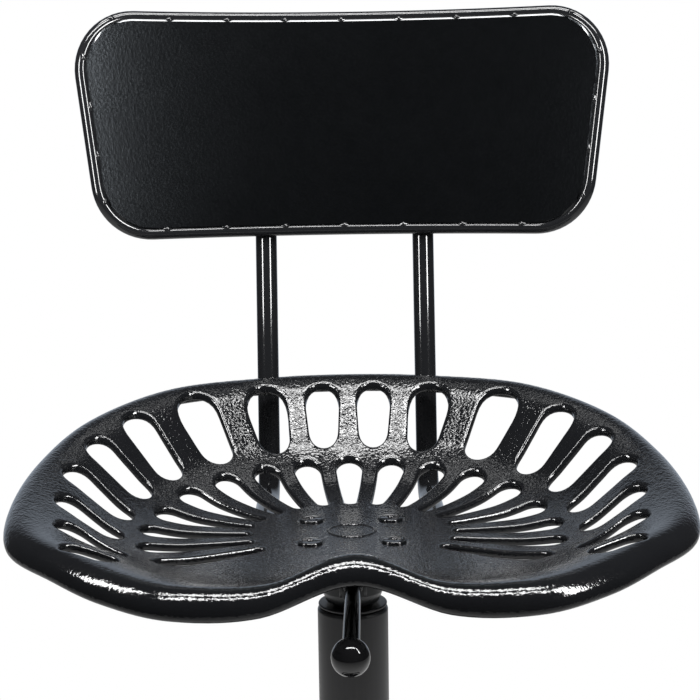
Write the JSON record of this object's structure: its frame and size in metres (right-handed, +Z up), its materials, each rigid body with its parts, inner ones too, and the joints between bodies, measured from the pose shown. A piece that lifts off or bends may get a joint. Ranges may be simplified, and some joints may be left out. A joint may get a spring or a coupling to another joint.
{
  "type": "tractor seat stool",
  "caption": "Swivelling height-adjustable stool with a slotted cast tractor seat, a curved sheet backrest, a round base and a loop footrest.",
  "frame": {"origin": "middle of the floor pad's underside, on the column's axis", "axes": "+Z up along the column, -Y towards the front of the seat, +X to the sitter's left"},
  "size_m": [0.4674, 0.4845, 0.9803],
  "materials": {
    "seat_paint": "glossy black paint over a cast surface",
    "gloss_paint": "glossy black powder coat",
    "sheet_paint": "satin black paint with a fine orange peel",
    "column_paint": "satin dark grey paint",
    "bracket_steel": "satin black paint",
    "zinc_steel": "zinc plated",
    "rod_chrome": "polished",
    "black_plastic": "matte",
    "ball_plastic": "glossy",
    "black_rubber": "matte",
    "raw_iron": "rough, primed"
  },
  "bodies": {
    "base": {"floor_pad": "black_rubber", "base_weight": "raw_iron", "column_flange": "bracket_steel", "base_bolt_1": "zinc_steel", "base_bolt_2": "zinc_steel", "base_bolt_3": "zinc_steel", "base_nut_1": "zinc_steel", "base_nut_2": "zinc_steel", "base_nut_3": "zinc_steel", "base_cover": "gloss_paint", "column_collar": "black_rubber", "column": "column_paint", "guide_bushing": "black_plastic", "bearing_lower": "zinc_steel", "bearing_balls": "zinc_steel", "footrest": "gloss_paint", "footrest_sleeve": "bracket_steel", "sleeve_screw_1": "black_plastic", "sleeve_screw_2": "black_plastic"},
    "rod": {"piston_rod": "rod_chrome", "rod_clip": "zinc_steel", "piston": "black_plastic", "bearing_upper": "zinc_steel"},
    "seat": {"seat_pan": "seat_paint", "mounting_plate": "bracket_steel", "seat_bolt_1": "seat_paint", "seat_bolt_2": "seat_paint", "seat_bolt_3": "seat_paint", "seat_bolt_4": "seat_paint", "seat_nut_1": "zinc_steel", "seat_nut_2": "zinc_steel", "seat_nut_3": "zinc_steel", "seat_nut_4": "zinc_steel", "socket": "bracket_steel", "lever_cheek_left": "bracket_steel", "lever_cheek_right": "bracket_steel", "lever_pin": "zinc_steel", "gas_cylinder": "column_paint", "rod_guide": "black_plastic", "back_tube_left": "gloss_paint", "back_tube_right": "gloss_paint", "tube_cap_left": "black_plastic", "tube_cap_right": "black_plastic", "tube_screw_left_1": "zinc_steel", "tube_screw_left_2": "zinc_steel", "tube_screw_right_1": "zinc_steel", "tube_screw_right_2": "zinc_steel", "backrest_frame": "gloss_paint", "backrest_sheet": "sheet_paint"},
    "lever": {"lever_arm": "gloss_paint", "lever_rod": "gloss_paint", "lever_ball": "ball_plastic"},
    "valve": {"valve_pin": "zinc_steel"}
  },
  "joints": [
    {"name": "swivel", "type": "hinge", "parent": "base", "child": "rod", "pos_m": [0, 0, 0.046], "axis": [0, 0, 1], "continuous": true},
    {"name": "lift", "type": "slide", "parent": "rod", "child": "seat", "axis": [0, 0, 1], "range_m": [0, 0.2]},
    {"name": "lever", "type": "hinge", "parent": "seat", "child": "lever", "pos_m": [0, -0.026, 0.581], "axis": [-1, 0, 0], "range_deg": [0, 8], "stiffness_Nm_per_rad": 1, "springref_deg": -2.86},
    {"name": "valve", "type": "slide", "parent": "seat", "child": "valve", "axis": [0, 0, -1], "range_m": [0, 0.0037]}
  ],
  "couplings": [
    {"joint": "valve", "follows": "lever", "m_per_rad": 0.026}
  ]
}
